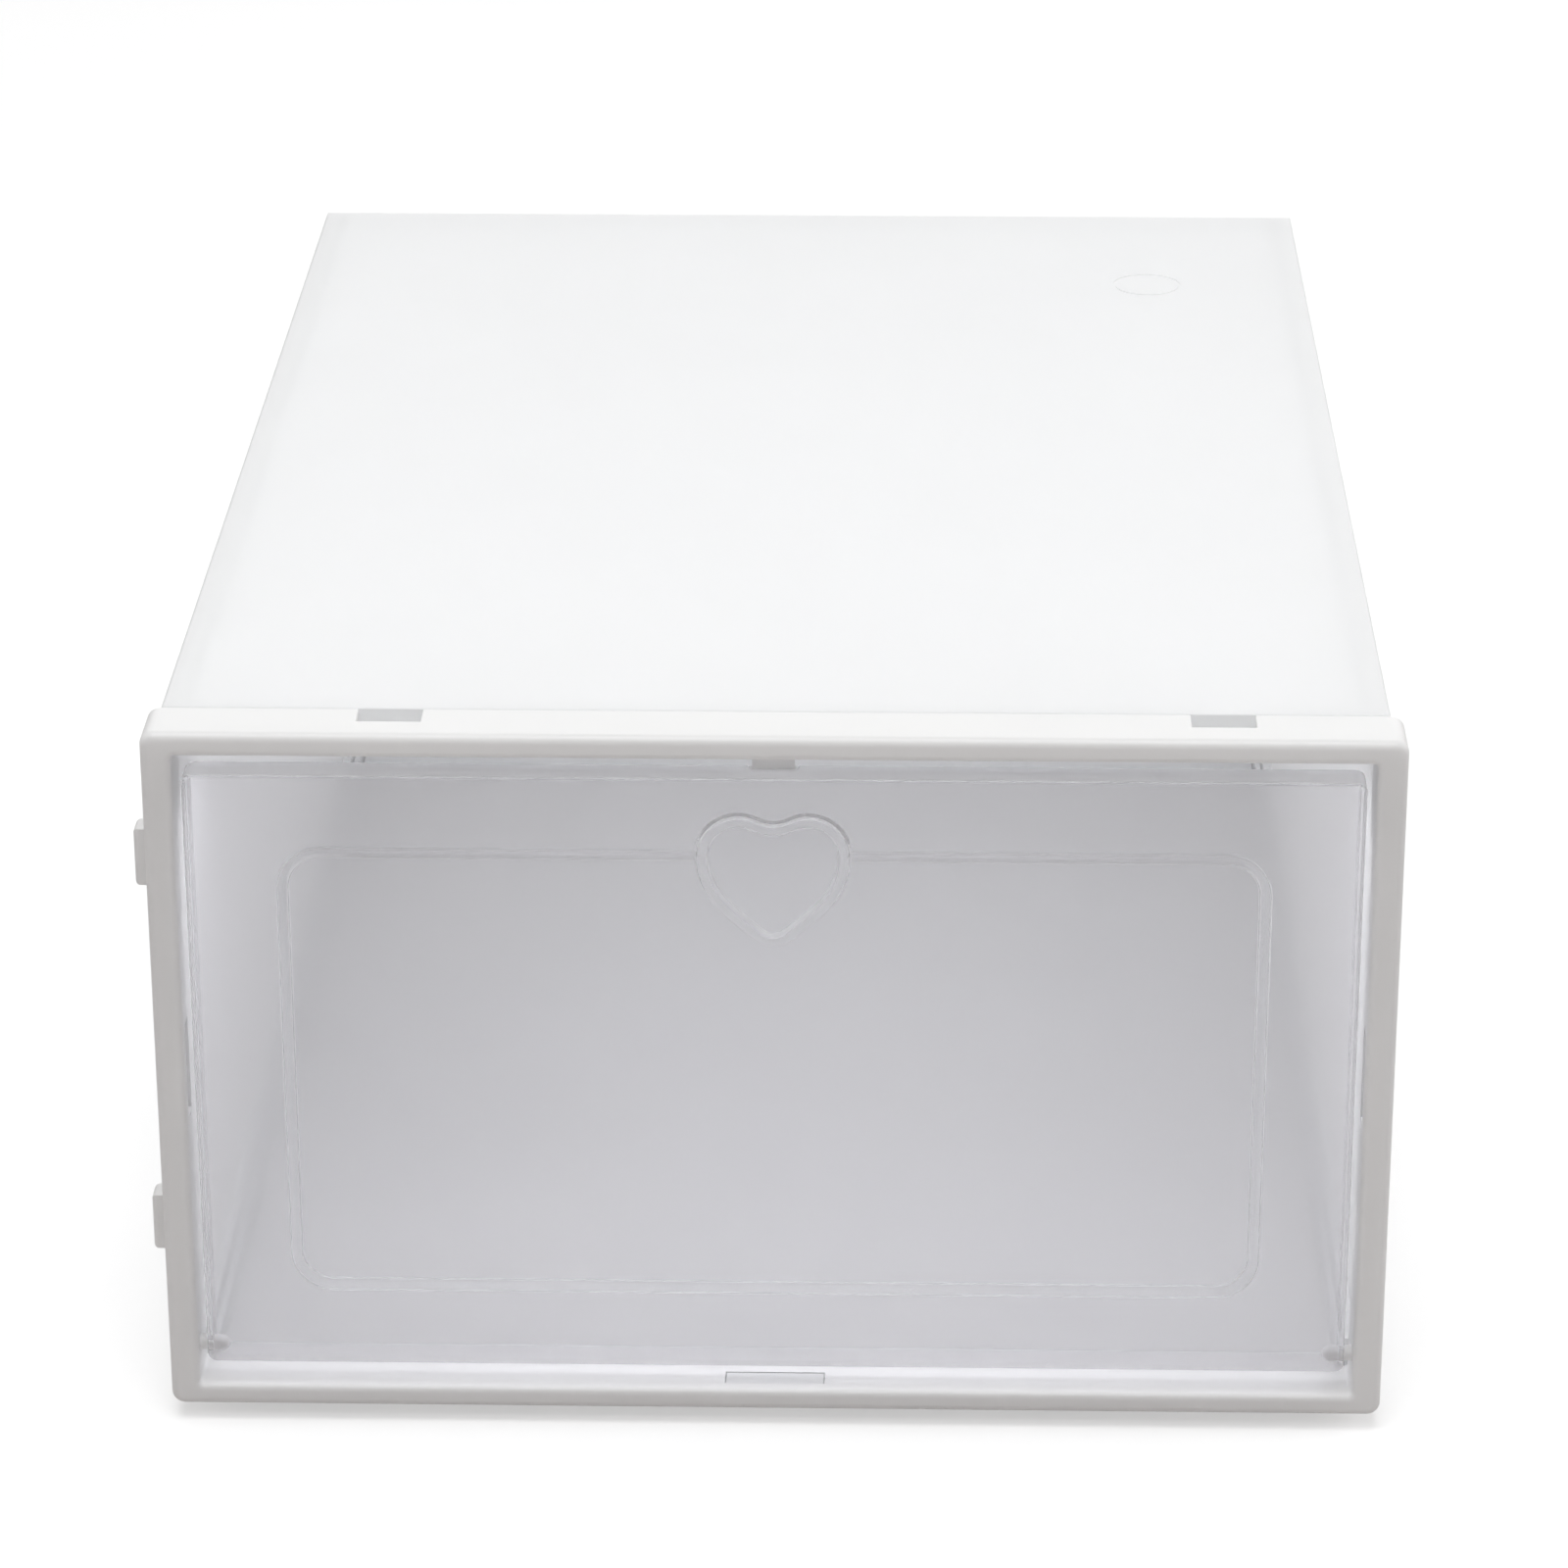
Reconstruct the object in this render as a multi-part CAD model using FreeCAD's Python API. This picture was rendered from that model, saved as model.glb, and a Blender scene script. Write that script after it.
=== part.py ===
import FreeCAD, Part
import os
import math

V = FreeCAD.Vector

# Knock-down shoe box: a moulded front frame, five snap-together panels and a
# frosted drop-front door that swings on two stub pins. Millimetres, +Z up,
# the door faces -Y. Everything is drawn with the frame's front plane at y = 0,
# its underside at z = 0 and its middle at x = 0, and is moved at the end so
# that the origin is the centre of the overall footprint at its lowest point.

# ---------------------------------------------------------------- dimensions
W = 230.0            # front frame, width
H = 138.5            # front frame, height
D = 320.0            # front face to the rear edge
FRAME_D = 13.0       # front frame, depth
CORNER_R = 2.5       # frame corners seen from the front
FRONT_R = 1.6        # rounding of the frame's outer front edge
LIP_R = 1.2          # rounding round the mouth
FACE_T = 2.4         # frame face thickness

MOUTH_X = 109.5      # half width of the mouth
MOUTH_Z0 = 4.3       # mouth floor
MOUTH_Z1 = 134.0     # mouth ceiling
SKIN_IN = 1.2        # inner skirt thickness
SKIRT_END = 12.0     # rear edge of the inner skirt
CH_X = 113.0         # outer wall of the channel that takes the side panels
CH_Z0 = 1.6          # same, floor side
CH_Z1 = 136.8        # same, ceiling side

SHEET = 1.4          # panel thickness
BODY_X = 112.55      # half width over the side panels
JOIN_Y = 13.2        # where the top and bottom panels meet the frame
TONGUE_Y = 3.2       # front edge of the panels inside the channel
LIP_DROP = 6.5       # depth of the turned edge on the top and bottom panels
RIB_X0, RIB_X1 = 107.6, 108.8   # inner rib of the groove for the side panels
MARGIN_X0, MARGIN_X1 = 109.25, 110.65   # stepped-in margin of the side panels
RAIL_Y0, RAIL_Y1 = 16.0, 316.4

TAB_L = 11.2         # connecting tab, length
TAB_W = 5.0          # connecting tab, width along Y
TAB_H = 3.0          # connecting tab, how far it stands out
TAB_Y0 = 7.7
SLOT_L = 11.8        # matching slot
SLOT_Y0 = 7.0
TAB_X = (-70.2, 81.9)      # tabs under the floor and slots in the roof
TAB_Z = (110.7, 35.2)      # tabs on the left wall and slots in the right wall

DOOR_X = 107.8       # door half width
DOOR_Z0, DOOR_Z1 = 9.0, 130.2
DOOR_Y0, DOOR_Y1 = 0.8, 7.4
DOOR_T = 1.3         # door plate
FLANGE_T = 1.0       # door side and top flanges
FLANGE_B = 0.8       # door bottom flange
DOOR_R = 1.8         # door corners seen from the front
RECESS = 1.15        # depth of the sunk field
AX_Y, AX_Z = 4.3, 11.5     # hinge axis
PIN_R = 1.5          # stub pin on the frame
PIN_TIP = 103.9      # where the pin's domed end stops
HOLE_R = 1.56        # hole in the door's side flange

# sunk rectangular field of the door: outer and inner outlines of its slope
F_OUT = (91.1, 24.6, 115.6, 8.0)
F_IN = (88.9, 26.9, 113.4, 5.8)

BACK_Y0, BACK_Y1 = 317.6, 319.0

OFFSET = V(1.5, -160.0, 3.0)


# ------------------------------------------------------------------- helpers
def box(x0, x1, y0, y1, z0, z1):
    return Part.makeBox(x1 - x0, y1 - y0, z1 - z0, V(x0, y0, z0))


def both(x0, x1, y0, y1, z0, z1):
    """The same block on the left and on the right."""
    return [box(x0, x1, y0, y1, z0, z1), box(-x1, -x0, y0, y1, z0, z1)]


def rrect(x0, x1, z0, z1, r, y):
    """Rounded rectangle in the plane y, as one wire."""
    c = math.cos(math.pi / 4) * r
    pts = []
    corners = ((x1 - r, z1 - r, 1, 1), (x0 + r, z1 - r, -1, 1),
               (x0 + r, z0 + r, -1, -1), (x1 - r, z0 + r, 1, -1))
    for n, (cx, cz, sx, sz) in enumerate(corners):
        a = V(cx + sx * r, y, cz)
        b = V(cx + sx * c, y, cz + sz * c)
        d = V(cx, y, cz + sz * r)
        pts.append((a, b, d) if n % 2 == 0 else (d, b, a))
    edges = []
    for n, (a, b, d) in enumerate(pts):
        edges.append(Part.Arc(a, b, d).toShape())
        nxt = pts[(n + 1) % 4][0]
        edges.append(Part.LineSegment(d, nxt).toShape())
    return Part.Wire(edges)


def slab(wire, dy):
    return Part.Face(wire).extrude(V(0, dy, 0))


def fuse(first, others):
    s = first.multiFuse(list(others))
    return s.removeSplitter()


def pick(shape, test):
    """Edges whose two ends and middle all pass the test."""
    out = []
    for e in shape.Edges:
        p = [v.Point for v in e.Vertexes]
        a, b = e.ParameterRange
        p.append(e.valueAt((a + b) / 2))
        if all(test(q) for q in p):
            out.append(e)
    return out


def near(a, b, tol=1e-4):
    return abs(a - b) < tol


# heart outline: half of it runs cleft, lobe, flank, straight, tip
HC = 0.0             # heart centre, x
CLEFT_Z = 119.25
LOBE_X, LOBE_Z, LOBE_R = 6.4, 115.0, 5.8
LOBE_C = CLEFT_Z - LOBE_Z
# the valley's arc touches both lobes
VALLEY_R = (LOBE_X ** 2 + LOBE_C ** 2 - LOBE_R ** 2) / (2 * (LOBE_R - LOBE_C))
FLANK_R = 14.85
FLANK_END = (7.1, 103.8)
TIP_R = 3.4


def heart(off, y):
    """Heart outline moved outwards by off, in the plane y."""
    vz = CLEFT_Z + VALLEY_R
    vr = VALLEY_R - off
    lr = LOBE_R + off
    fr = FLANK_R + off
    tr = TIP_R + off
    fcx, fcz = LOBE_X + LOBE_R - FLANK_R, LOBE_Z
    # direction from the flank's centre to where the straight begins
    dx, dz = FLANK_END[0] - fcx, FLANK_END[1] - fcz
    n = math.hypot(dx, dz)
    ux, uz = dx / n, dz / n
    s = (fcx + ux * fr, fcz + uz * fr)
    # tip circle: centred on x = 0, tangent to the straight
    # the straight's inner-contour line is at distance FLANK_R from the centre
    tcz = fcz + (FLANK_R - TIP_R + fcx * ux) / uz
    t = (ux * tr, tcz + uz * tr)
    # valley to lobe tangent point
    wx, wz = 0.0 - LOBE_X, vz - LOBE_Z
    m = math.hypot(wx, wz)
    wx, wz = wx / m, wz / m
    q = (LOBE_X + wx * lr, LOBE_Z + wz * lr)

    def P(x, z):
        return V(HC + x, y, z)

    def arc(cx, cz, r, a0, a1):
        am = (a0 + a1) / 2
        return Part.Arc(*[P(cx + r * math.cos(k), cz + r * math.sin(k)) for k in (a0, am, a1)]).toShape()

    aq = math.atan2(q[1] - LOBE_Z, q[0] - LOBE_X)
    av = math.atan2(q[1] - vz, q[0] - 0.0)
    af = math.atan2(uz, ux)
    e = []
    # right half, from the cleft clockwise
    e.append(arc(0.0, vz, vr, -math.pi / 2, av))
    e.append(arc(LOBE_X, LOBE_Z, lr, aq, 0.0))
    e.append(arc(fcx, fcz, fr, 0.0, af))
    e.append(Part.LineSegment(P(*s), P(*t)).toShape())
    # tip, right to left
    e.append(arc(0.0, tcz, tr, af, -math.pi - af))
    # left half, upwards
    e.append(Part.LineSegment(P(-t[0], t[1]), P(-s[0], s[1])).toShape())
    e.append(arc(-fcx, fcz, fr, -math.pi - af, -math.pi))
    e.append(arc(-LOBE_X, LOBE_Z, lr, math.pi, math.pi - aq))
    e.append(arc(0.0, vz, vr, -math.pi - av, -math.pi / 2))
    return Part.Wire(e)


# --------------------------------------------------------------- front frame
def make_frame():
    f = slab(rrect(-W / 2, W / 2, 0, H, CORNER_R, 0), FRAME_D)
    f = f.cut(slab(rrect(-MOUTH_X, MOUTH_X, MOUTH_Z0, MOUTH_Z1, 0.8, -1), FRAME_D + 2))

    def outer(p):
        return near(p.y, 0) and (abs(p.x) > MOUTH_X + 2 or p.z < 2 or p.z > MOUTH_Z1 + 2)

    def inner(p):
        return near(p.y, 0) and abs(p.x) < MOUTH_X + 1e-3 and MOUTH_Z0 - 1e-3 < p.z < MOUTH_Z1 + 1e-3

    f = f.makeFillet(FRONT_R, pick(f, outer))
    f = f.makeFillet(LIP_R, pick(f, inner))
    f = f.makeFillet(0.4, pick(f, lambda p: near(p.y, FRAME_D) and (abs(p.x) > CH_X + 1 or p.z < 1 or p.z > CH_Z1 + 1)))
    # channel that takes the front edges of the four panels
    ch = slab(rrect(-CH_X, CH_X, CH_Z0, CH_Z1, 0.8, FACE_T), FRAME_D)
    s = SKIN_IN
    core = slab(rrect(-MOUTH_X - s, MOUTH_X + s, MOUTH_Z0 - s, MOUTH_Z1 + s, 2.0, FACE_T - 1), FRAME_D + 2)
    f = f.cut(ch.cut(core))
    # the inner skirt stops short of the outer one
    ring = box(-MOUTH_X - 1.3, MOUTH_X + 1.3, SKIRT_END, FRAME_D + 1, MOUTH_Z0 - 1.3, MOUTH_Z1 + 1.3)
    f = f.cut(ring)
    # snap windows in the inner skirt: floor, two walls, two in the ceiling
    cuts = [box(-9.5, 9.5, 3.0, 7.4, MOUTH_Z0 - 1.3, MOUTH_Z0 + 0.5)]
    cuts += both(MOUTH_X - 0.5, MOUTH_X + 1.3, 3.0, 7.4, H / 2 - 9.5, H / 2 + 9.5)
    cuts += both(50.5, 69.5, 3.0, 7.4, MOUTH_Z1 - 0.5, MOUTH_Z1 + 1.3)
    # slots for the tabs of the next box, open towards the rear
    for x in TAB_X:
        cuts.append(box(x - SLOT_L / 2, x + SLOT_L / 2, SLOT_Y0, FRAME_D + 1, CH_Z1 - 0.1, H + 1))
    for z in TAB_Z:
        cuts.append(box(CH_X - 0.1, W / 2 + 1, SLOT_Y0, FRAME_D + 1, z - SLOT_L / 2, z + SLOT_L / 2))
    for c in cuts:
        f = f.cut(c)
    # broken edges round the slot mouths
    def roof_mouth(p):
        return near(p.z, H) and SLOT_Y0 - 0.1 < p.y and any(abs(p.x - x) < SLOT_L / 2 + 0.05 for x in TAB_X)

    def wall_mouth(p):
        return near(p.x, W / 2) and SLOT_Y0 - 0.1 < p.y and any(abs(p.z - z) < SLOT_L / 2 + 0.05 for z in TAB_Z)

    f = f.makeFillet(0.25, pick(f, roof_mouth))
    f = f.makeFillet(0.25, pick(f, wall_mouth))
    add = []
    # connecting tabs on the left wall
    for z in TAB_Z:
        t = box(-W / 2 - TAB_H, -CH_X - 0.5, TAB_Y0, TAB_Y0 + TAB_W, z - TAB_L / 2, z + TAB_L / 2)
        t = t.makeFillet(0.9, pick(t, lambda p: near(abs(p.z - z), TAB_L / 2) and not near(p.x, -CH_X - 0.5)
                                   and not near(p.x, -W / 2 - TAB_H) or near(p.x, -W / 2 - TAB_H)))
        add.append(t)
    # connecting tabs under the floor
    for x in TAB_X:
        t = box(x - TAB_L / 2, x + TAB_L / 2, TAB_Y0, TAB_Y0 + TAB_W, -TAB_H, CH_Z0 - 0.5)
        t = t.makeFillet(0.9, pick(t, lambda p: near(p.z, -TAB_H)))
        add.append(t)
    # door stop under the mouth ceiling
    n = box(-3.9, 3.9, 5.65, 7.35, 129.5, MOUTH_Z1 + 0.3)
    n = n.makeFillet(0.5, pick(n, lambda p: near(p.z, 129.5)))
    add.append(n)
    # stub pins
    for sgn in (1, -1):
        root = sgn * (MOUTH_X + 0.6)
        tip = sgn * (PIN_TIP + PIN_R)
        c = Part.makeCylinder(PIN_R, abs(root - tip), V(min(root, tip), AX_Y, AX_Z), V(1, 0, 0))
        d = Part.makeSphere(PIN_R, V(tip, AX_Y, AX_Z))
        add.append(c.fuse(d))
    return fuse(f, add)


# ---------------------------------------------------------------------- door
def make_door():
    d = slab(rrect(-DOOR_X, DOOR_X, DOOR_Z0, DOOR_Z1, DOOR_R, DOOR_Y0), DOOR_Y1 - DOOR_Y0)
    d = d.makeFillet(0.6, pick(d, lambda p: near(p.y, DOOR_Y0)))
    d = d.makeFillet(0.3, pick(d, lambda p: near(p.y, DOOR_Y1)))
    y_in = DOOR_Y0 + DOOR_T
    y_floor = DOOR_Y0 + RECESS
    y_back = y_floor + DOOR_T
    # hollow behind the plate, leaving a pad behind the sunk field
    hollow = slab(rrect(-DOOR_X + FLANGE_T, DOOR_X - FLANGE_T, DOOR_Z0 + FLANGE_B, DOOR_Z1 - FLANGE_T, 0.8, y_in), 10)
    a, b = F_OUT, F_IN
    pad = Part.makeLoft([rrect(-a[0] - .6, a[0] + .6, a[1] - .6, a[2] + .6, a[3] + .6, y_in - 0.3),
                         rrect(-b[0] - .6, b[0] + .6, b[1] - .6, b[2] + .6, b[3] + .6, y_back)], True, True)
    hpad = Part.makeLoft([heart(2.6, y_in - 0.3), heart(1.2, y_back)], True, True)
    hollow = hollow.cut(pad).cut(hpad)
    d = d.cut(hollow)
    # sunk field: a steep step, a gently falling border and a second steep step
    steps = [(a, 0.25, DOOR_Y0 - 0.5), (a, -0.2, DOOR_Y0 + 0.4), (b, 0.2, DOOR_Y0 + 0.72), (b, 0.0, y_floor)]
    rings = [rrect(-q[0] - k, q[0] + k, q[1] - k, q[2] + k, q[3] + k, y) for q, k, y in steps]
    sunk = Part.makeLoft(rings[0:2], True, True)
    sunk = sunk.fuse(Part.makeLoft(rings[1:3], True, True)).fuse(Part.makeLoft(rings[2:4], True, True))
    sunk = sunk.makeFillet(0.22, pick(sunk, lambda p: near(p.y, y_floor) or near(p.y, DOOR_Y0 + 0.4)))
    sunk = sunk.makeFillet(0.22, pick(sunk, lambda p: near(p.y, DOOR_Y0 + 0.72)))
    # raised heart: a bead whose outer flank runs down to the sunk field
    crest = 0.1
    bead = Part.makeLoft([heart(1.65, crest), heart(1.65 + 0.28 * (y_floor + 0.3 - crest), y_floor + 0.3)], True, True)
    bead = bead.makeFillet(0.25, pick(bead, lambda p: near(p.y, crest)))
    d = d.cut(sunk)
    d = d.makeFillet(0.3, pick(d, lambda p: near(p.y, DOOR_Y0) and abs(p.x) < a[0] + 2 and a[1] - 2 < p.z < a[2] + 2))
    d = d.fuse(bead.common(box(-40, 40, -1, y_in + 0.5, 80, 128)))
    pocket = Part.makeLoft([heart(0.12, crest - 0.5), heart(-0.35, y_floor)], True, True)
    pocket = pocket.makeFillet(0.35, pick(pocket, lambda p: near(p.y, y_floor)))
    d = d.cut(pocket)
    # notch in the rear edge of the top flange, round the door stop
    tz = (DOOR_Z1 - FLANGE_T - 0.5, DOOR_Z1 + 0.5)
    pts = [V(-4.9, DOOR_Y1 + 0.5, tz[0]), V(4.9, DOOR_Y1 + 0.5, tz[0]), V(4.3, 5.5, tz[0]), V(-4.3, 5.5, tz[0])]
    d = d.cut(Part.Face(Part.makePolygon(pts + [pts[0]])).extrude(V(0, 0, tz[1] - tz[0])))
    # holes for the stub pins
    for x0 in (-DOOR_X - 1, DOOR_X - FLANGE_T - 1):
        d = d.cut(Part.makeCylinder(HOLE_R, FLANGE_T + 2, V(x0, AX_Y, AX_Z), V(1, 0, 0)))
    return d.removeSplitter()


# ----------------------------------------------------------- top and bottom
def flip(shape):
    """Turn a part of the roof into its twin in the floor."""
    return shape.mirror(V(0, 0, H / 2), V(0, 0, 1))


RIB_WIN = (70.0, 165.0, 260.0)


def cover(pads, notches, tongue_z):
    """Sheet with turned edges, groove ribs and a stepped tongue for the frame."""
    zt = H
    zb = H - SHEET
    zl = H - LIP_DROP
    add = []
    add += both(BODY_X - SHEET, BODY_X, JOIN_Y, D, zl, zt)
    add += both(RIB_X0, RIB_X1, RAIL_Y0, RAIL_Y1, zl, zb + 0.2)
    add.append(box(-110.0, 110.0, TONGUE_Y, JOIN_Y + SHEET, tongue_z[0], tongue_z[1]))
    add.append(box(-BODY_X + 0.2, BODY_X - 0.2, JOIN_Y, JOIN_Y + SHEET, tongue_z[0], zt - 0.3))
    s = fuse(box(-BODY_X, BODY_X, JOIN_Y, D, zb, zt), add)
    rear = lambda p: near(p.z, zt) and (near(abs(p.x), BODY_X) or near(p.y, D))
    s = s.makeFillet(0.7, pick(s, rear))
    s = s.makeFillet(0.25, pick(s, lambda p: near(p.z, zl) and near(abs(p.x), BODY_X)))
    s = s.makeFillet(0.3, pick(s, lambda p: near(p.y, JOIN_Y) and near(p.z, zt)))
    for y in RIB_WIN:
        for w in both(RIB_X0 - 0.3, RIB_X1 + 0.3, y - 7.0, y + 7.0, H - 5.2, H - 2.6):
            s = s.cut(w)
    for x in notches:
        s = s.cut(box(x - SLOT_L / 2 - 0.1, x + SLOT_L / 2 + 0.1, SLOT_Y0 - 0.2, JOIN_Y, tongue_z[0] - 1, zt + 1))
    if pads:
        s = fuse(s, pads)
    return s


def make_top():
    pads = both(50.75, 69.25, 3.25, 7.15, 134.2, 135.6)
    s = cover(pads, TAB_X, (135.35, 136.65))
    # faint round gate mark
    c = V(77.2, 268.0, H - 0.15)
    ring = Part.makeCylinder(7.6, 1.0, c).cut(Part.makeCylinder(7.1, 1.0, c))
    return s.cut(ring)


def make_bottom():
    # the tongue lies in the floor channel, 1.7 to 3.0 above the underside
    pads = [box(-9.25, 9.25, 3.25, 7.15, H - 4.15, H - 2.8)]
    s = cover(pads, (), (H - 3.0, H - 1.7))
    return flip(s)


# --------------------------------------------------------------- side panels
BARB_Z = (40.0, 98.0)     # snaps of the back panel


def make_side(right):
    x0, x1 = BODY_X - SHEET, BODY_X
    zl, zh = LIP_DROP + 0.2, H - LIP_DROP - 0.2
    add = [box(MARGIN_X0, x1 - 0.2, RAIL_Y0, RAIL_Y1, zh - SHEET, zh),
           box(MARGIN_X0, MARGIN_X1, RAIL_Y0, RAIL_Y1, zh - SHEET, H - SHEET - 0.25),
           box(MARGIN_X0, x1 - 0.2, RAIL_Y0, RAIL_Y1, zl, zl + SHEET),
           box(MARGIN_X0, MARGIN_X1, RAIL_Y0, RAIL_Y1, SHEET + 0.25, zl + SHEET),
           # pad that clicks into the frame's wall window
           box(110.2, x0 + 0.2, 3.25, 7.15, H / 2 - 9.25, H / 2 + 9.25)]
    for y in RIB_WIN:
        for z0, z1 in ((H - 4.9, H - 2.9), (2.9, 4.9)):
            add.append(box(RIB_X0 + 0.1, MARGIN_X0 + 0.2, y - 6.7, y + 6.7, z0, z1))
    s = fuse(box(x0, x1, TONGUE_Y, D, zl, zh), add)
    s = s.makeFillet(0.4, pick(s, lambda p: near(p.y, D) and near(p.x, x1)))
    s = s.makeFillet(0.3, pick(s, lambda p: near(p.x, x1) and (near(p.z, zl) or near(p.z, zh))))
    for z in BARB_Z:
        s = s.cut(box(x0 - 0.5, x1 + 0.5, 311.5, 315.5, z - 6, z + 6))
    if right:
        # room for the next box's tabs behind the slots in the frame
        for z in TAB_Z:
            s = s.cut(box(x0 - 0.5, x1 + 0.5, SLOT_Y0 - 0.2, JOIN_Y, z - SLOT_L / 2 - 0.1, z + SLOT_L / 2 + 0.1))
    else:
        s = s.mirror(V(0, 0, 0), V(1, 0, 0))
    return s


# ---------------------------------------------------------------- back panel
def make_back():
    x1 = BODY_X - SHEET - 0.25
    zb, zt = SHEET + 0.2, H - SHEET - 0.2
    add = both(x1 - SHEET, x1, 309.5, BACK_Y0 + 0.2, 9.0, H - 9.0)
    add.append(box(-107.2, 107.2, 309.5, BACK_Y0 + 0.2, zt - SHEET, zt))
    add.append(box(-107.2, 107.2, 309.5, BACK_Y0 + 0.2, zb, zb + SHEET))
    for z in BARB_Z:
        for sgn in (1, -1):
            # wedge: flush at the front, full height at the rear
            p = [V(sgn * (x1 - 0.2), 311.8, z - 5.7), V(sgn * (x1 + 0.2), 311.8, z - 5.7),
                 V(sgn * (x1 + 1.4), 314.6, z - 5.7), V(sgn * (x1 + 1.4), 315.2, z - 5.7),
                 V(sgn * (x1 - 0.2), 315.2, z - 5.7)]
            add.append(Part.Face(Part.makePolygon(p + [p[0]])).extrude(V(0, 0, 11.4)))
    s = fuse(box(-x1, x1, BACK_Y0, BACK_Y1, zb, zt), add)
    s = s.makeFillet(0.4, pick(s, lambda p: near(p.y, BACK_Y1)))
    # ventilation slots
    for n in range(-5, 6):
        x = n * 13.0
        s = s.cut(slab(rrect(x - 2.0, x + 2.0, 92.0, 114.0, 1.99, BACK_Y0 - 1), 4))
    s = s.makeFillet(0.3, pick(s, lambda p: near(p.y, BACK_Y1) and abs(p.x) < 68 and 91 < p.z < 115))
    return s


# -------------------------------------------------------------------- export
parts = {
    "front_frame": make_frame(),
    "door": make_door(),
    "top_panel": make_top(),
    "bottom_panel": make_bottom(),
    "left_side_panel": make_side(False),
    "right_side_panel": make_side(True),
    "back_panel": make_back(),
}

os.makedirs("parts", exist_ok=True)
for name, shape in parts.items():
    shape = shape.copy()
    shape.translate(OFFSET)
    if shape.ShapeType == "Compound" and len(shape.Solids) == 1:
        shape = shape.Solids[0]
    print(name, shape.ShapeType, "solids", len(shape.Solids), "valid", shape.isValid(),
          "cm3 %.1f" % (shape.Volume / 1000), "faces", len(shape.Faces))
    shape.exportStep("parts/%s.step" % name)
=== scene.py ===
import bpy
import math
from mathutils import Matrix, Vector

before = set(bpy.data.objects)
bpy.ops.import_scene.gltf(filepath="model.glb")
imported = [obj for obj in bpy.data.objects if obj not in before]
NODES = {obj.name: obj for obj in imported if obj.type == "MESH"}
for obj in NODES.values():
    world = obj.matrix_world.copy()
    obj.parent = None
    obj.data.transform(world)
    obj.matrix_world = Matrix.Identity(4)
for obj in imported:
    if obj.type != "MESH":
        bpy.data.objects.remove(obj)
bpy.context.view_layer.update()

SCENE = bpy.context.scene
SCENE.view_settings.view_transform = "Standard"
SCENE.view_settings.look = "None"


# ---------------------------------------------------------------- node helpers
class Tree:
    """A small helper that adds nodes to one material and joins them."""

    def __init__(self, name):
        self.mat = bpy.data.materials.new(name)
        self.mat.use_nodes = True
        self.nt = self.mat.node_tree
        self.nt.nodes.clear()
        self.out = self.nt.nodes.new("ShaderNodeOutputMaterial")
        self.coord = self.nt.nodes.new("ShaderNodeTexCoord").outputs["Object"]

    def node(self, kind, **props):
        n = self.nt.nodes.new(kind)
        for k, v in props.items():
            setattr(n, k, v)
        return n

    def put(self, socket, value):
        if isinstance(value, bpy.types.NodeSocket):
            self.nt.links.new(value, socket)
        else:
            socket.default_value = value

    def scaled(self, x, y, z, source=None):
        m = self.node("ShaderNodeMapping")
        self.put(m.inputs["Vector"], source or self.coord)
        m.inputs["Scale"].default_value = (x, y, z)
        return m.outputs["Vector"]

    def noise(self, period, detail=2.0, rough=0.5, vector=None, distortion=0.0, seed=0.0):
        """Noise from 0 to 1 whose features are about `period` metres wide."""
        n = self.node("ShaderNodeTexNoise", noise_dimensions="3D")
        m = self.node("ShaderNodeVectorMath", operation="ADD")
        self.put(m.inputs[0], vector or self.coord)
        m.inputs[1].default_value = (seed * 1.13, seed * 0.71, seed * 1.57)
        self.put(n.inputs["Vector"], m.outputs[0])
        n.inputs["Scale"].default_value = 1.0 / period
        n.inputs["Detail"].default_value = detail
        n.inputs["Roughness"].default_value = rough
        n.inputs["Distortion"].default_value = distortion
        return n.outputs["Fac"]

    def math(self, op, a, b=0.0, c=0.0, clamp=False):
        n = self.node("ShaderNodeMath", operation=op, use_clamp=clamp)
        self.put(n.inputs[0], a)
        self.put(n.inputs[1], b)
        if len(n.inputs) > 2:
            self.put(n.inputs[2], c)
        return n.outputs[0]

    def span(self, value, a0, a1, b0, b1, smooth=False):
        n = self.node("ShaderNodeMapRange", interpolation_type="SMOOTHSTEP" if smooth else "LINEAR")
        self.put(n.inputs[0], value)
        for k, v in enumerate((a0, a1, b0, b1)):
            self.put(n.inputs[k + 1], v)
        return n.outputs[0]

    def mix(self, fac, a, b):
        n = self.node("ShaderNodeMix", data_type="RGBA")
        self.put(n.inputs["Factor"], fac)
        self.put(n.inputs["A"], a)
        self.put(n.inputs["B"], b)
        return n.outputs["Result"]

    def bump(self, *parts):
        """One bump from (height 0 to 1, depth in metres) pairs, added up."""
        total = 0.0
        for height, depth in parts:
            total = self.math("MULTIPLY_ADD", height, depth * 1000, total)
        n = self.node("ShaderNodeBump")
        n.inputs["Strength"].default_value = 1.0
        n.inputs["Distance"].default_value = 0.001
        self.put(n.inputs["Height"], total)
        return n.outputs["Normal"]


def rgb(r, g, b):
    return (r, g, b, 1.0)


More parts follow.
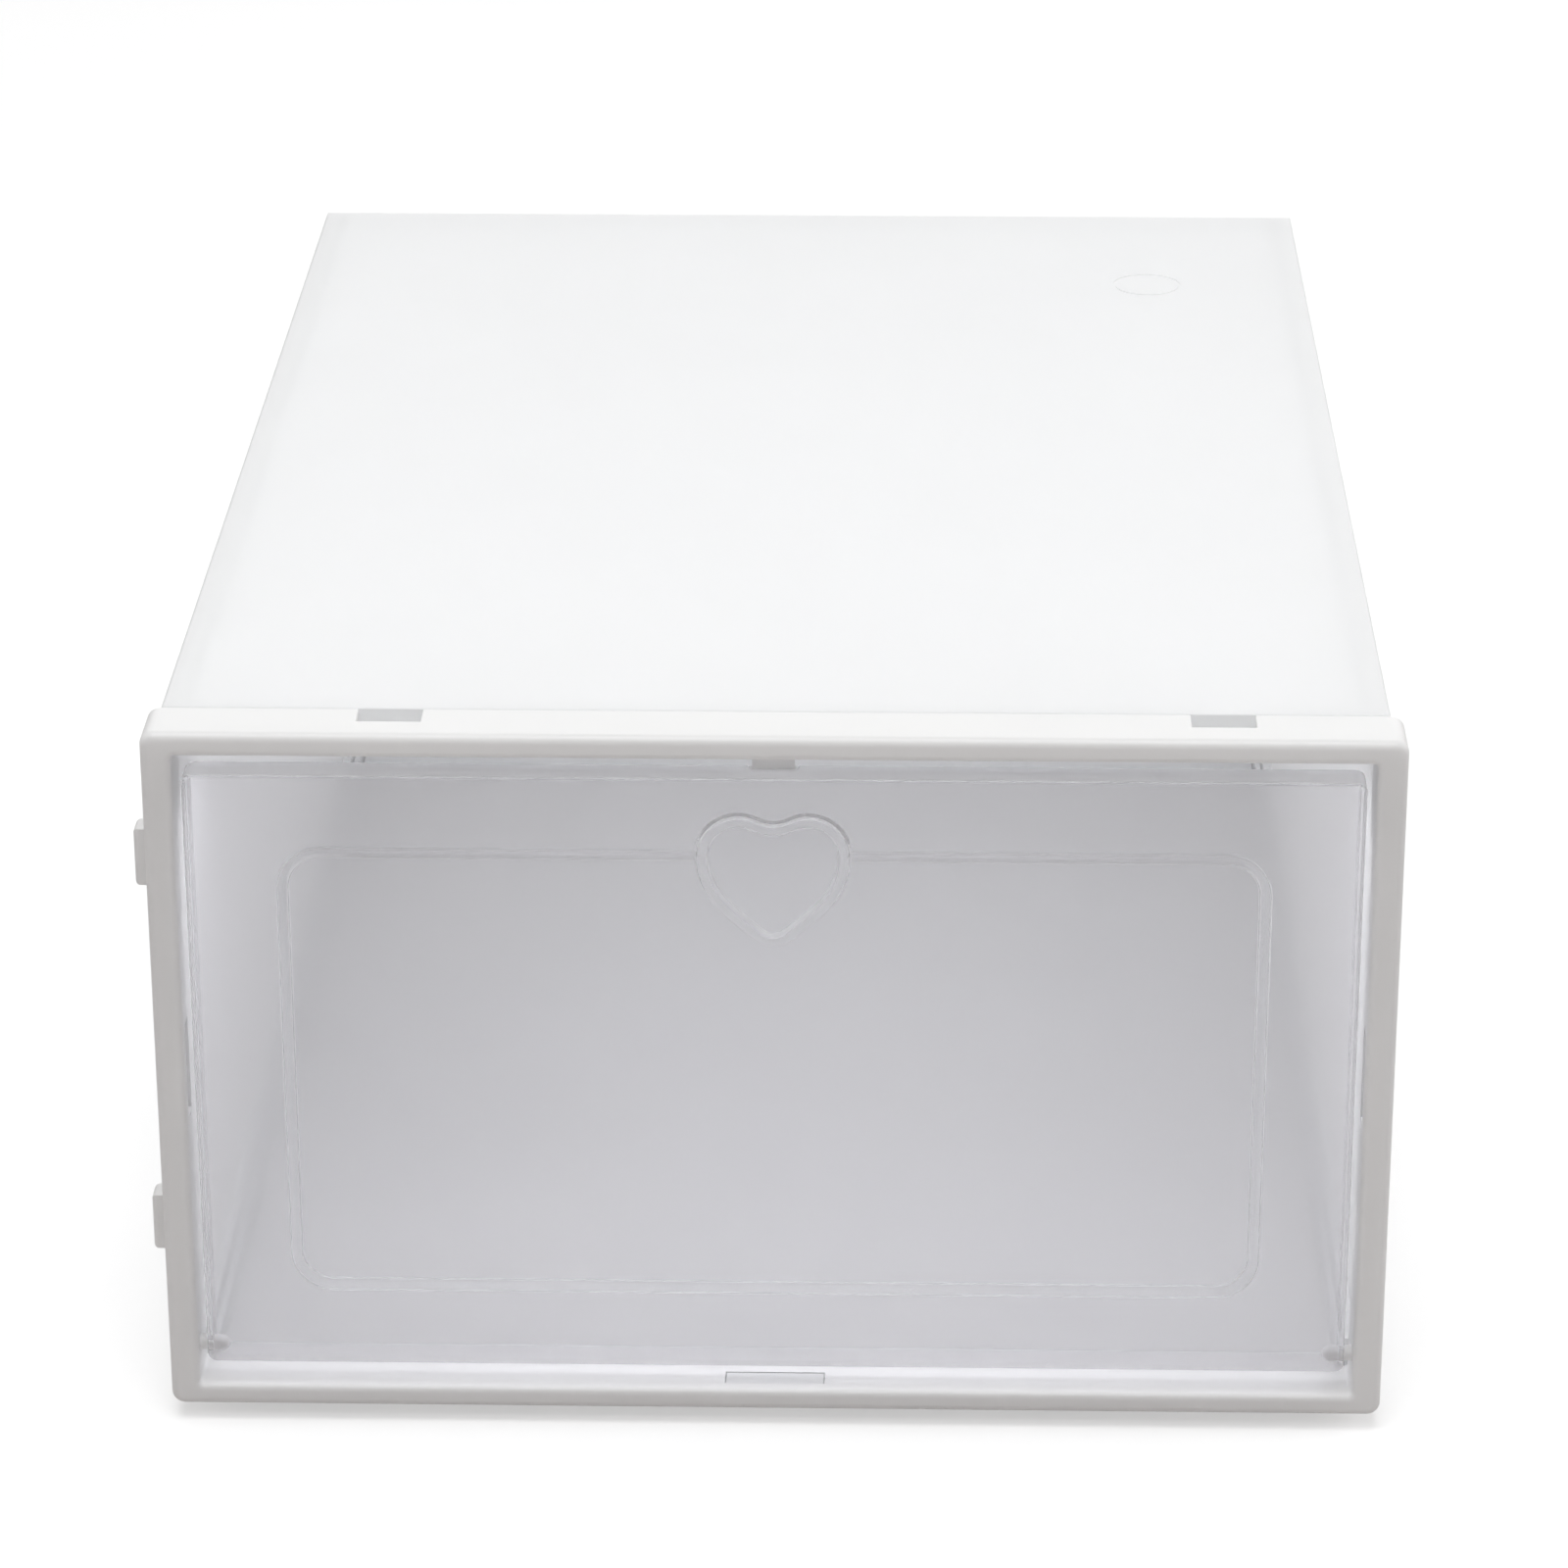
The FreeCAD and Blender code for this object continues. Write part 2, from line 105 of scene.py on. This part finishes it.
def white_plastic(name, light, shade, rough, warp, grain, share, through):
    """Injection-moulded polypropylene: satin, faint flow clouding, a little uneven in gloss, and never quite flat."""
    t = Tree(name)
    p = t.node("ShaderNodeBsdfPrincipled")
    # colour: slow clouding from the melt's flow
    cloud = t.noise(0.055, 2.0, 0.55, None, 0.6, 1.7)
    colour = t.mix(t.span(cloud, 0.32, 0.68, 0.0, 1.0), rgb(*light), rgb(*shade))
    t.put(p.inputs["Base Color"], colour)
    # gloss: satin with slow changes
    gloss = t.noise(0.012, 2.0, 0.6, None, 0.0, 4.2)
    t.put(p.inputs["Roughness"], t.span(gloss, 0.25, 0.75, rough - 0.045, rough + 0.055))
    # relief: slow warp of the wall, orange peel, spark-eroded grain
    n = t.bump((t.noise(0.075, 1.0, 0.45, None, 0.0, 2.9), warp), (t.noise(0.0042, 0.0, 0.5, None, 0.0, 6.6), 0.000010),
               (t.noise(0.00045, 1.0, 0.6, None, 0.0, 9.3), grain))
    t.put(p.inputs["Normal"], n)
    p.inputs["IOR"].default_value = 1.49
    # thin white polypropylene lets some light through its wall
    glow = t.node("ShaderNodeBsdfTranslucent")
    t.put(glow.inputs["Color"], rgb(*through))
    both = t.node("ShaderNodeMixShader")
    both.inputs[0].default_value = share
    t.put(both.inputs[1], p.outputs[0])
    t.put(both.inputs[2], glow.outputs[0])
    t.put(t.out.inputs["Surface"], both.outputs[0])
    return t.mat


def frosted_plastic(name):
    """Clear-grade polypropylene, milky in its depth and polished outside: what is close behind shows, what is far blurs away."""
    t = Tree(name)
    p = t.node("ShaderNodeBsdfPrincipled")
    cloud = t.noise(0.040, 2.0, 0.5, None, 0.6, 3.3)
    colour = t.mix(t.span(cloud, 0.3, 0.7, 0.0, 1.0), rgb(0.955, 0.955, 0.972), rgb(0.947, 0.947, 0.966))
    t.put(p.inputs["Base Color"], colour)
    # polished outside, matt inside: the plate's two faces differ by where they lie in the door's own depth
    depth = t.node("ShaderNodeSeparateXYZ")
    t.put(depth.inputs[0], t.coord)
    inside = t.math("GREATER_THAN", depth.outputs["Y"], -0.15797)
    gloss = t.noise(0.009, 2.0, 0.6, None, 0.0, 5.5)
    smooth, matt = t.span(gloss, 0.25, 0.75, 0.060, 0.090), t.span(gloss, 0.25, 0.75, 0.20, 0.26)
    t.put(p.inputs["Roughness"], t.math("MULTIPLY_ADD", inside, t.math("SUBTRACT", matt, smooth), smooth))
    n = t.bump((t.noise(0.060, 0.0, 0.4, None, 0.0, 7.7), 0.00035), (t.noise(0.0030, 1.0, 0.5, None, 0.0, 1.1), 0.000006))
    t.put(p.inputs["Normal"], n)
    p.inputs["IOR"].default_value = 1.22
    p.inputs["Transmission Weight"].default_value = 0.90
    p.inputs["Coat Weight"].default_value = 0.8
    p.inputs["Coat Roughness"].default_value = 0.06
    p.inputs["Coat IOR"].default_value = 1.49
    # edges and steps look milkier than the flat plate, because there the wall is seen along its length
    geo = t.node("ShaderNodeVectorTransform", vector_type="NORMAL", convert_from="WORLD", convert_to="OBJECT")
    t.put(geo.inputs[0], t.node("ShaderNodeNewGeometry").outputs["True Normal"])
    way = t.node("ShaderNodeSeparateXYZ")
    t.put(way.inputs[0], geo.outputs[0])
    side = t.math("SUBTRACT", 1.0, t.math("ABSOLUTE", way.outputs["Y"]))
    milky = t.span(side, 0.06, 0.50, 0.0, 0.84, True)
    d = t.node("ShaderNodeBsdfDiffuse")
    t.put(d.inputs["Color"], t.mix(t.span(cloud, 0.3, 0.7, 0.0, 1.0), rgb(0.955, 0.953, 0.965), rgb(0.945, 0.943, 0.955)))
    t.put(d.inputs["Normal"], n)
    g = t.node("ShaderNodeBsdfTranslucent")
    t.put(g.inputs["Color"], rgb(0.955, 0.953, 0.965))
    milk = t.node("ShaderNodeMixShader")
    milk.inputs[0].default_value = 0.5
    t.put(milk.inputs[1], d.outputs[0])
    t.put(milk.inputs[2], g.outputs[0])
    thin = t.node("ShaderNodeMixShader")
    thin.inputs[0].default_value = 0.62
    t.put(thin.inputs[1], milk.outputs[0])
    t.put(thin.inputs[2], t.node("ShaderNodeBsdfTransparent").outputs[0])
    both = t.node("ShaderNodeMixShader")
    t.put(both.inputs[0], milky)
    t.put(both.inputs[1], p.outputs[0])
    t.put(both.inputs[2], thin.outputs[0])
    t.put(t.out.inputs["Surface"], both.outputs[0])
    return t.mat


PANEL = white_plastic("panel_white", (0.970, 0.976, 0.973), (0.962, 0.968, 0.965), 0.335, 0.00060, 0.0000060, 0.40, (0.975, 0.975, 0.985))
FRAME = white_plastic("frame_white", (0.975, 0.976, 0.972), (0.967, 0.968, 0.964), 0.34, 0.00010, 0.0000080, 0.30, (0.980, 0.975, 0.975))
DOOR = frosted_plastic("door_frosted")

for name, mat in (("front_frame", FRAME), ("door", DOOR), ("top_panel", PANEL), ("bottom_panel", PANEL),
                  ("left_side_panel", PANEL), ("right_side_panel", PANEL), ("back_panel", PANEL)):
    o = NODES[name]
    o.data.materials.clear()
    o.data.materials.append(mat)


# ---------------------------------------------------------------- floor
def make_floor():
    me = bpy.data.meshes.new("studio_floor")
    s = 6.0
    me.from_pydata([(-s, -s, 0), (s, -s, 0), (s, s, 0), (-s, s, 0)], [], [(0, 1, 2, 3)])
    o = bpy.data.objects.new("studio_floor", me)
    SCENE.collection.objects.link(o)
    o.location = (0, 0, -0.0002)
    t = Tree("floor_white")
    p = t.node("ShaderNodeBsdfPrincipled")
    seen = t.mix(t.noise(0.5, 2.0), rgb(0.64, 0.64, 0.64), rgb(0.63, 0.63, 0.63))
    bounce = t.mix(t.noise(0.5, 2.0), rgb(0.660, 0.625, 0.616), rgb(0.650, 0.615, 0.606))
    ray = t.node("ShaderNodeLightPath")
    t.put(p.inputs["Base Color"], t.mix(ray.outputs["Is Camera Ray"], bounce, seen))
    t.put(p.inputs["Roughness"], t.span(t.noise(0.05), 0.3, 0.7, 0.7, 0.8))
    p.inputs["Specular IOR Level"].default_value = 0.1
    # the studio's white ground: shadows are weak in the picture, though the ground gives the box only a dim bounce
    p.inputs["Emission Color"].default_value = rgb(1, 1, 1)
    t.put(p.inputs["Emission Strength"], t.math("MULTIPLY", ray.outputs["Is Camera Ray"], 0.46))
    t.put(t.out.inputs["Surface"], p.outputs[0])
    me.materials.append(t.mat)
    return o


make_floor()


# ---------------------------------------------------------------- light
def area(name, place, target, size, radiance, colour=(1, 1, 1)):
    d = bpy.data.lights.new(name, "AREA")
    d.shape = "RECTANGLE"
    d.size, d.size_y = size
    d.energy = radiance * math.pi * size[0] * size[1]
    d.color = colour
    o = bpy.data.objects.new(name, d)
    SCENE.collection.objects.link(o)
    o.location = place
    o.visible_camera = False
    o.rotation_mode = "QUATERNION"
    o.rotation_quaternion = (Vector(target) - Vector(place)).to_track_quat("-Z", "Y")
    return o


area("key_overhead", (-0.08, -0.32, 1.50), (0, -0.05, 0.1), (1.05, 0.95), 4.9)
area("front_strip", (0.0, -1.10, 1.22), (0, -0.16, 0.08), (1.2, 0.20), 4.7)
area("side_left", (-1.35, 0.45, 0.55), (0, 0.05, 0.08), (1.5, 1.1), 0.7)
area("side_right", (1.35, 0.45, 0.55), (0, 0.05, 0.08), (1.5, 1.1), 1.9)
area("back_soft", (0.1, 1.90, 0.80), (0, 0.1, 0.10), (2.4, 1.3), 1.3)
# the glow that the roof and the frame's top pass down into the box, strongest behind the door
for n, y, z, to, size, level in (("roof_glow", 0.010, 0.121, 0.0, (0.19, 0.26), 0.56),
                                 ("mouth_glow", -0.126, 0.121, -0.150, (0.204, 0.042), 2.45),
                                 ("lip_glow", -0.1535, 0.0114, -0.1535, (0.213, 0.0110), 0.35)):
    lamp = area(n, (0, y, z), (0, to, 0.0), size, level, (0.945, 0.940, 1.0))
    lamp.visible_camera = lamp.visible_transmission = lamp.visible_glossy = False

lamp = area("stop_glow", (0.0015, -0.1575, 0.1355), (0.0015, -0.150, 0.1345), (0.009, 0.0025), 0.42)
lamp.visible_camera = lamp.visible_transmission = lamp.visible_glossy = False

world = bpy.data.worlds.new("studio")
SCENE.world = world
world.use_nodes = True
nt = world.node_tree
nt.nodes.clear()
wo = nt.nodes.new("ShaderNodeOutputWorld")
bg = nt.nodes.new("ShaderNodeBackground")
bg.inputs["Color"].default_value = (1, 1, 1, 1)
bg.inputs["Strength"].default_value = 0.12
seen = nt.nodes.new("ShaderNodeBackground")
seen.inputs["Color"].default_value = (1, 1, 1, 1)
seen.inputs["Strength"].default_value = 0.95
path = nt.nodes.new("ShaderNodeLightPath")
mixed = nt.nodes.new("ShaderNodeMixShader")
nt.links.new(path.outputs["Is Camera Ray"], mixed.inputs[0])
nt.links.new(bg.outputs[0], mixed.inputs[1])
nt.links.new(seen.outputs[0], mixed.inputs[2])
nt.links.new(mixed.outputs[0], wo.inputs["Surface"])

# ---------------------------------------------------------------- camera
PITCH, YAW, ROLL = math.radians(22.98), math.radians(-1.42), math.radians(-0.12)
fw = Vector((math.sin(YAW) * math.cos(PITCH), math.cos(YAW) * math.cos(PITCH), -math.sin(PITCH)))
rt = Vector((math.cos(YAW), -math.sin(YAW), 0.0))
up = rt.cross(fw)
rt2 = math.cos(ROLL) * rt + math.sin(ROLL) * up
up2 = -math.sin(ROLL) * rt + math.cos(ROLL) * up
cam_data = bpy.data.cameras.new("camera")
cam_data.sensor_width = 36.0
cam_data.lens = 5659.0 / 1600.0 * 36.0
cam_data.clip_start, cam_data.clip_end = 0.05, 50.0
cam = bpy.data.objects.new("camera", cam_data)
SCENE.collection.objects.link(cam)
m = Matrix.Identity(4)
for i in range(3):
    m[i][0], m[i][1], m[i][2] = rt2[i], up2[i], -fw[i]
m.translation = Vector((0.0265, -1.085, 0.525))
cam.matrix_world = m
SCENE.camera = cam

SCENE.cycles.max_bounces = 16
SCENE.cycles.diffuse_bounces = 7
SCENE.cycles.transmission_bounces = 16
